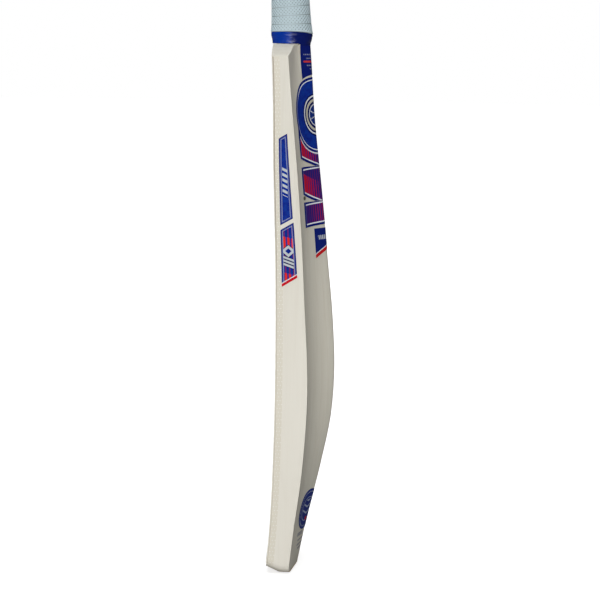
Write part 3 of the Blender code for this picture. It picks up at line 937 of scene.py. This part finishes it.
def make_film():
    """A thin film over the face, folded round both edges."""
    toe_rows = np.linspace(FILM_FOOT, FILM_TOE_TOP, 12)[:-1]
    heights = np.concatenate((toe_rows, np.linspace(FILM_TOE_TOP, FILM_TOP, 150)))
    quarter = np.linspace(0, math.pi / 2, 7)
    wrap = np.linspace(FILM_WRAP, CORNER_ROUNDING, 7)[:-1]
    flat = np.linspace(1, -1, 61)[1:-1]
    z = heights[:, None]
    half = half_width(z)
    corner_x = half - CORNER_ROUNDING
    corner_y = front_y(half, z) + CORNER_ROUNDING
    face_x = flat * corner_x
    face_arc = -CORNER_ROUNDING * math.pi / 2 - (corner_x - np.abs(face_x))
    fold_arc = np.concatenate((wrap, CORNER_ROUNDING * (1 - quarter)))
    layers = []
    for lift in (FILM_LIFT, FILM_LIFT + FILM_THICKNESS):
        radius = CORNER_ROUNDING + lift
        fold_x = np.concatenate((half + lift + 0 * wrap, corner_x + radius * np.cos(quarter)), axis=1)
        fold_y = np.concatenate((front_y(half, z) + wrap, corner_y - radius * np.sin(quarter)), axis=1)
        x = np.concatenate((fold_x, face_x, -fold_x[:, ::-1]), axis=1)
        y = np.concatenate((fold_y, front_y(face_x, z) - lift, fold_y[:, ::-1]), axis=1)
        tall = z + sole_lift(y, z)
        layers.append(np.stack((x, y, tall), axis=-1))
    arcs = np.concatenate((fold_arc + 0 * z, face_arc, (fold_arc + 0 * z)[:, ::-1]), axis=1) / MM
    points = np.stack(layers, axis=2)
    film = block("anti_scuff_film", points, film_look(), {"arc": np.stack((arcs, arcs), axis=2)})
    stand_for(film, "anti_scuff_film", "anti_scuff_sheet")


def back_label(name, place, mat, slot, node):
    """A thin label on the back.

    place(u, v) gives (x, z) in millimetres, with u from -1 to 1 and v from 0 to 1.
    """
    u, v = np.meshgrid(crowded(72), np.linspace(0, 1, 61), indexing="ij")
    x, z = place(u, v)
    lifts = (LABEL_LIFT, LABEL_LIFT + LABEL_THICKNESS)
    points = np.stack([on_back(x * MM, z * MM, lift) for lift in lifts], axis=2)
    label = block(name, points, mat)
    stand_for(label, slot, node)


def ring_edge(x, radius, side):
    """Height of a circle round the ring's middle, over it (side 1) or under it (side -1)."""
    reach = np.clip(np.abs(x) / (radius * BENT_WIDTH), 0, 1)
    return RING_HEIGHT + side * radius * np.sqrt(1 - reach ** 2)


def oval_place(half_wide, half_tall, height, middle=0):
    def place(u, v):
        turn = np.radians(2 + 176 * v)
        return middle + u * half_wide * np.sin(turn), height - half_tall * np.cos(turn)
    return place


def throat_place(u, v):
    """Up from the ring to the tape, a little wider toward its foot."""
    x = u * THROAT_LABEL_HALF_WIDTH
    low = ring_edge(x, RING_RADIUS + THROAT_CLEARANCE, 1) - THROAT_CORNER_DROP * u ** 2
    z = low + v * (THROAT_LABEL_TOP - low)
    return x + u * THROAT_LABEL_FLARE * (THROAT_LABEL_TOP - z), z


def bar_place(number):
    side_top, spine_top, side_low, spine_low = BARS[number - 1]

    def place(u, v):
        x = u * BAR_HALF_WIDTH
        low = spine_low + (side_low - spine_low) * np.abs(u)
        high = spine_top + (side_top - spine_top) * np.abs(u)
        if number < len(BARS):
            low = np.maximum(low, BAR_MEETINGS[number - 1] + BAR_GAP)
        if number > 1:
            high = np.minimum(high, BAR_MEETINGS[number - 2] - BAR_GAP)
        else:
            high = ring_edge(x, RING_RADIUS + RING_GAP, -1)
        return x, low + v * (high - low)
    return place


def name_place(u, v):
    top, side_low, spine_low = NAME_LEVELS
    low = spine_low + (side_low - spine_low) * np.abs(u)
    return u * NAME_HALF_WIDTH, low + v * (top - low)


def make_back_labels():
    ring = oval_place(RING_RADIUS * BENT_WIDTH, RING_RADIUS, RING_HEIGHT)
    badge = oval_place(BADGE_HALF_WIDTH, BADGE_HALF_HEIGHT, BADGE_HEIGHT, BADGE_MIDDLE)
    back_label("throat_label_print", throat_place, throat_look(), "navy_vinyl", "throat_label")
    back_label("round_label_print", ring, ring_look(), "blue_vinyl", "round_label")
    for number in range(1, len(BARS) + 1):
        name = f"bar_label_print_{number}"
        node = f"bar_label_{number}"
        back_label(name, bar_place(number), bar_look(number), "blue_vinyl", node)
    back_label("name_label_print", name_place, name_look(), "navy_vinyl", "name_label")
    back_label("badge_label_print", badge, badge_look(), "navy_vinyl", "badge_label")


def edge_label(name, side, corners, mat, node):
    """A flat label on one edge of the blade, from four corners that run round it."""
    foot_front, foot_back, top_back, top_front = np.array(corners)
    u, v = np.meshgrid(np.linspace(0, 1, 13), np.linspace(0, 1, 33), indexing="ij")
    u = u[..., None]
    v = v[..., None]
    flat = (1 - v) * ((1 - u) * foot_front + u * foot_back) + v * ((1 - u) * top_front + u * top_back)
    depth, height = flat[..., 0], flat[..., 1]
    layers = []
    for lift in (LABEL_LIFT, LABEL_LIFT + LABEL_THICKNESS):
        x = side * (BLADE_HALF_WIDTH + lift) + 0 * depth
        layers.append(np.stack((x, face_line(height * MM) + depth * MM, height * MM), axis=-1))
    label = block(name, np.stack(layers, axis=2), mat, {"depth": np.stack((depth, depth), axis=2)})
    stand_for(label, "blue_vinyl", node)


def make_edge_labels():
    upper = upper_edge_look()
    lower = lower_edge_look()
    for side, hand in ((1, "right"), (-1, "left")):
        edge_label(f"upper_edge_print_{hand}", side, UPPER_EDGE_LABEL, upper, f"upper_edge_label_{hand}")
        edge_label(f"lower_edge_print_{hand}", side, LOWER_EDGE_LABEL, lower, f"lower_edge_label_{hand}")


def oval_points(stations, z, angle, rise=0.0):
    """Points round the handle on an oval from stations, raised by rise."""
    x = (along(stations, z, 1) + rise) * np.cos(angle)
    deep = np.where(np.sin(angle) > 0, along(stations, z, len(stations[0]) - 1), along(stations, z, 2))
    y = handle_centre(z) + (deep + rise) * np.sin(angle)
    return np.stack((x, y, z + 0 * x), axis=-1)


def rim_drop(angle):
    """How far the grip's lower rim dips toward the face and, more, toward the back."""
    return (1 - np.abs(np.cos(angle))) * (1.7 + 1.0 * np.sin(angle)) * MM


def make_grip():
    """A rubber sleeve with ring grooves and staggered pits, and a plain rim at its foot."""
    angle = np.arange(160) / 160 * 2 * math.pi
    back = np.sin(angle)
    start = GRIP_FOOT - rim_drop(angle)
    z = start + (BAT_HEIGHT - start) * np.linspace(0, 1, 590)[:, None]

    # The rings tilt a little more up the handle.
    tilt = 0.03 + 0.085 * ease((z - GRIP_FOOT) / (34 * MM))
    band = (z - FIRST_RING - tilt * along(GRIP, z, 2) * back) / RING_PITCH
    near_ring = np.abs(band - np.round(band)) * RING_PITCH
    groove = ease(1 - near_ring / (0.75 * MM))
    column = angle * PITS_AROUND / (2 * math.pi)
    row = band * PIT_ROWS / 2
    first = 0.5 + 0.5 * np.cos(2 * math.pi * (column + row))
    second = 0.5 + 0.5 * np.cos(2 * math.pi * (column - row))
    # Toward the front and the back the pits run together into slanted rows.
    slant = np.clip(-1.15 * back, -0.93, 0.93)
    pit = first ** (1.5 * (1 + slant)) * second ** (1.5 * (1 - slant))
    pit = pit * ease((near_ring - 0.7 * MM) / (0.5 * MM))
    clear = ease((z - start - PLAIN_RIM) / (0.8 * MM)) * ease((BAT_HEIGHT - z - PLAIN_RIM) / (0.8 * MM))
    depth = np.maximum(groove, pit) * clear * (0.5 + 0.5 * np.abs(back))

    lip = 0.9 * MM
    low_lip = np.clip(1 - (z - start) / lip, 0, 1)
    top_lip = np.clip(1 - (BAT_HEIGHT - z) / lip, 0, 1)
    tuck = lip * (2 - np.sqrt(1 - low_lip ** 2) - np.sqrt(1 - top_lip ** 2))
    swell = 0.25 * MM * np.sin(np.clip((z - start) / (2.4 * MM), 0, 1) * math.pi)
    outer = oval_points(GRIP, z, angle, swell - tuck - GRIP_PIT_DEPTH * depth)
    inner_z = start + (BAT_HEIGHT - start) * np.linspace(1, 0, 9)[:, None]
    inner = oval_points(UNDERLAY, inner_z, angle, 0.1 * MM)
    inside = 0 * inner_z + 0 * angle
    attributes = {"band": np.concatenate((band, inside)), "body": np.concatenate((clear, inside))}
    grip = tube("rubber_grip", np.concatenate((outer, inner)), grip_look(), attributes, sharp=60)
    stand_for(grip, "grip_rubber", "grip")


def make_tape():
    """Glossy tape wound round the foot of the grip, wrinkled where it bulges."""
    angle = np.arange(200) / 200 * 2 * math.pi
    rim = TAPE_RIM - rim_drop(angle)
    # At the back the foot comes down over the column, as far as the throat label.
    foot = TAPE_FOOT - TAPE_FOOT_DROP * ease((np.sin(angle) - 0.4) / 0.3)
    t = np.linspace(0, 1, 56)[:, None]
    z = foot + (rim - foot) * t
    wrinkle = 0 * z
    for count, wave, slope, size in TAPE_WRINKLES:
        turned = 2 * np.sin(2 * angle + slope)
        wrinkle += size * MM * np.sin(count * angle + slope) * np.sin((z - foot) / (wave * MM) + turned)
    wrinkle *= ease(t / 0.12) * ease((1 - t) / 0.15)
    lip = 0.3 * MM
    near_end = np.minimum(z - foot, rim - z)
    tuck = lip * (1 - np.sqrt(1 - np.clip(1 - near_end / lip, 0, 1) ** 2))
    outer = oval_points(COLLAR, z + rim_drop(angle) * t, angle, wrinkle - tuck)
    outer[..., 2] = z
    inner_z = foot + (rim - foot) * np.linspace(1, 0, 4)[:, None]
    inner = oval_points(COLLAR, inner_z, angle, -TAPE_THICKNESS)
    tape = tube("collar_tape_wrap", np.concatenate((outer, inner)), tape_look(), sharp=70)
    stand_for(tape, "collar_tape", "collar_tape")


def dress_cad_nodes():
    """Gives the handle's inner pieces, whose CAD shapes stay, their materials."""
    looks = {"cane": cane_look(), "spring": strip_look(), "twine": twine_look()}
    for name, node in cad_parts.items():
        mat = looks.get(name.split("_")[0])
        if mat is not None:
            node.data.materials.clear()
            node.data.materials.append(mat)


# The stage: a pale floor and white surroundings, soft lights and the camera.


def make_floor():
    mesh = bpy.data.meshes.new("floor")
    work = bmesh.new()
    bmesh.ops.create_circle(work, cap_ends=True, segments=96, radius=14)
    work.to_mesh(mesh)
    work.free()
    floor = bpy.data.objects.new("floor", mesh)
    bpy.context.scene.collection.objects.link(floor)
    floor.location.z = CAD_BOUNDS[0].z - 0.05 * MM
    mat = bpy.data.materials.new("pale_floor")
    mat.use_nodes = True
    tree = mat.node_tree
    shader = tree.nodes["Principled BSDF"]
    shader.inputs["Base Color"].default_value = (0.6, 0.6, 0.6, 1)
    shader.inputs["Roughness"].default_value = 0.9
    shader.inputs["Specular IOR Level"].default_value = 0.1
    shader.inputs["Emission Color"].default_value = (1, 1, 1, 1)
    shader.inputs["Emission Strength"].default_value = FLOOR_GLOW
    # The floor sends little light back up to the bat, so that the bat's far side stays shaded.
    dim = tree.nodes.new("ShaderNodeBsdfDiffuse")
    dim.inputs["Color"].default_value = (0.12, 0.12, 0.115, 1)
    path = tree.nodes.new("ShaderNodeLightPath")
    mix = tree.nodes.new("ShaderNodeMixShader")
    tree.links.new(path.outputs["Is Camera Ray"], mix.inputs[0])
    tree.links.new(dim.outputs[0], mix.inputs[1])
    tree.links.new(shader.outputs[0], mix.inputs[2])
    tree.links.new(mix.outputs[0], tree.nodes["Material Output"].inputs["Surface"])
    mesh.materials.append(mat)


def make_world():
    """White to the camera, dim as ambient light, and nearly black in reflections."""
    world = bpy.data.worlds.new("studio")
    bpy.context.scene.world = world
    world.use_nodes = True
    tree = world.node_tree
    tree.nodes.remove(tree.nodes["Background"])
    path = tree.nodes.new("ShaderNodeLightPath")
    result = None
    for strength, ray in ((AMBIENT, None), (MIRRORED, "Is Glossy Ray"), (1.0, "Is Camera Ray")):
        background = tree.nodes.new("ShaderNodeBackground")
        background.inputs["Color"].default_value = (0.97, 0.98, 1.0, 1) if strength < 1 else (1, 1, 1, 1)
        background.inputs["Strength"].default_value = strength
        if ray is None:
            result = background.outputs[0]
            continue
        mix = tree.nodes.new("ShaderNodeMixShader")
        tree.links.new(path.outputs[ray], mix.inputs[0])
        tree.links.new(result, mix.inputs[1])
        tree.links.new(background.outputs[0], mix.inputs[2])
        result = mix.outputs[0]
    tree.links.new(result, tree.nodes["World Output"].inputs["Surface"])


def direction(azimuth, elevation):
    """The way from the bat to something. Azimuth 0 is in front of the face and 90 is on the +X side."""
    a = math.radians(azimuth)
    e = math.radians(elevation)
    return Vector((math.sin(a) * math.cos(e), -math.cos(a) * math.cos(e), math.sin(e)))


def soft_light(name, azimuth, elevation, away, size, power, aim_height=0.3):
    light = bpy.data.lights.new(name, "AREA")
    light.shape = "RECTANGLE"
    light.size, light.size_y = size
    light.energy = power
    obj = bpy.data.objects.new(name, light)
    bpy.context.scene.collection.objects.link(obj)
    way = direction(azimuth, elevation)
    obj.location = Vector((0, 0, aim_height)) + way * away
    obj.rotation_euler = way.to_track_quat("Z", "Y").to_euler()
    obj.visible_camera = False
    return obj


def make_lights():
    soft_light("key", 86, 0, 2.6, (1.8, 1.0), 49, aim_height=0.34)
    fills = [
        soft_light("front_fill", -12, 15, 2.8, (1.4, 1.4), 20),
        soft_light("back_fill", 165, 12, 3.0, (1.4, 1.4), 9),
        soft_light("far_side_fill", 262, 20, 3.0, (1.6, 1.6), 22),
    ]
    for fill in fills:
        fill.visible_glossy = False
    sun = bpy.data.lights.new("overhead", "SUN")
    sun.energy = 1.45
    sun.angle = math.radians(40)
    overhead = bpy.data.objects.new("overhead", sun)
    bpy.context.scene.collection.objects.link(overhead)


def make_camera():
    camera = bpy.data.cameras.new("camera")
    camera.lens = LENS
    camera.sensor_width = 36
    obj = bpy.data.objects.new("camera", camera)
    bpy.context.scene.collection.objects.link(obj)
    back = direction(VIEW_AZIMUTH, VIEW_ELEVATION)
    right = (-back).cross(Vector((0, 0, 1))).normalized()
    up = back.cross(right)
    roll = math.radians(VIEW_ROLL)
    rolled_right = right * math.cos(roll) + up * math.sin(roll)
    rolled_up = up * math.cos(roll) - right * math.sin(roll)
    matrix = Matrix((rolled_right, rolled_up, back)).transposed().to_4x4()
    matrix.translation = Vector(VIEW_AIM) + back * VIEW_DISTANCE
    obj.matrix_world = matrix
    bpy.context.scene.camera = obj


make_blade()
make_toe_shield()
make_film()
make_back_labels()
make_edge_labels()
make_grip()
make_tape()
dress_cad_nodes()
make_floor()
make_world()
make_lights()
make_camera()
bpy.context.scene.view_settings.view_transform = "Standard"
